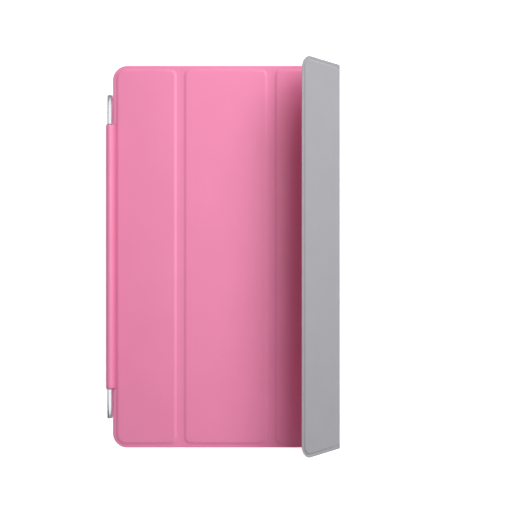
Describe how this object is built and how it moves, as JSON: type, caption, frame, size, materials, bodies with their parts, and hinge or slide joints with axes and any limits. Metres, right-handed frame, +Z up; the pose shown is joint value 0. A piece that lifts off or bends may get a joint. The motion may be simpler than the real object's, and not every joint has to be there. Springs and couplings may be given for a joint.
{
  "type": "tablet cover",
  "caption": "Folding cover for a tablet, with stiff panels joined by thin flexible webs and a magnetic hinge along one edge, its end panel folded up and back.",
  "frame": {"origin": "centre of the clasp's contact face, under the hinge pin and halfway along the hinge", "axes": "+X from the hinge to the free edge, +Y along the hinge, +Z up, away from the lining; the lining of the flat panels lies at z = 0"},
  "size_m": [0.1467, 0.24, 0.0364],
  "materials": {
    "skin": "matt polyurethane with a fine grain, pink",
    "lining": "short microfibre nap, mid grey",
    "board": "glass-fibre board, hidden",
    "hinge_metal": "polished and clear anodised",
    "steel": "ground",
    "magnet": "nickel plated"
  },
  "bodies": {
    "panel_1": {"outer_skin_1": "skin", "lining_1": "lining", "stiffener_1": "board", "keeper_plate": "steel"},
    "web_1": {"fold_skin_1": "skin", "fold_lining_1": "lining"},
    "panel_2": {"outer_skin_2": "skin", "lining_2": "lining", "stiffener_2": "board"},
    "web_2": {"fold_skin_2": "skin", "fold_lining_2": "lining"},
    "panel_3": {"outer_skin_3": "skin", "lining_3": "lining", "stiffener_3": "board"},
    "web_3": {"fold_skin_3": "skin", "fold_lining_3": "lining"},
    "panel_4": {"outer_skin_4": "skin", "lining_4": "lining", "stiffener_4": "board", "edge_magnets": "magnet", "wake_magnet": "magnet"},
    "spine": {"spine_skin": "skin", "spine_lining": "lining", "spine_tube": "hinge_metal"},
    "clasp": {"clasp_bar": "hinge_metal", "end_knuckle_upper": "hinge_metal", "end_knuckle_lower": "hinge_metal", "hinge_pin_upper": "steel", "hinge_pin_lower": "steel", "clasp_magnets": "magnet", "magnet_retainer": "steel"}
  },
  "joints": [
    {"name": "fold_1", "type": "hinge", "parent": "panel_1", "child": "web_1", "pos_m": [0.04215, 0, 0.00052], "axis": [0, -1, 0], "range_deg": [0, 84]},
    {"name": "fold_1_far", "type": "hinge", "parent": "web_1", "child": "panel_2", "pos_m": [0.04575, 0, 0.00052], "axis": [0, -1, 0], "range_deg": [0, 84]},
    {"name": "fold_2", "type": "hinge", "parent": "panel_2", "child": "web_2", "pos_m": [0.09915, 0, 0.00052], "axis": [0, -1, 0], "range_deg": [0, 52]},
    {"name": "fold_2_far", "type": "hinge", "parent": "web_2", "child": "panel_3", "pos_m": [0.10275, 0, 0.00052], "axis": [0, -1, 0], "range_deg": [0, 52]},
    {"name": "fold_3", "type": "hinge", "parent": "panel_3", "child": "web_3", "pos_m": [0.1423, 0, 0.00052], "axis": [0, 1, 0], "range_deg": [-25, 64]},
    {"name": "fold_3_far", "type": "hinge", "parent": "web_3", "child": "panel_4", "pos_m": [0.14388, 0, 0.00376], "axis": [0, 1, 0], "range_deg": [-25, 64]},
    {"name": "spine_fold", "type": "hinge", "parent": "panel_1", "child": "spine", "pos_m": [0.00295, 0, 0.00052], "axis": [0, -1, 0], "range_deg": [-20, 100]},
    {"name": "hinge_pin", "type": "hinge", "parent": "spine", "child": "clasp", "pos_m": [0, 0, 0.00375], "axis": [0, -1, 0], "range_deg": [-200, 0]}
  ],
  "couplings": [
    {"joint": "fold_1_far", "follows": "fold_1", "ratio": 1},
    {"joint": "fold_2_far", "follows": "fold_2", "ratio": 1},
    {"joint": "fold_3_far", "follows": "fold_3", "ratio": 1}
  ]
}
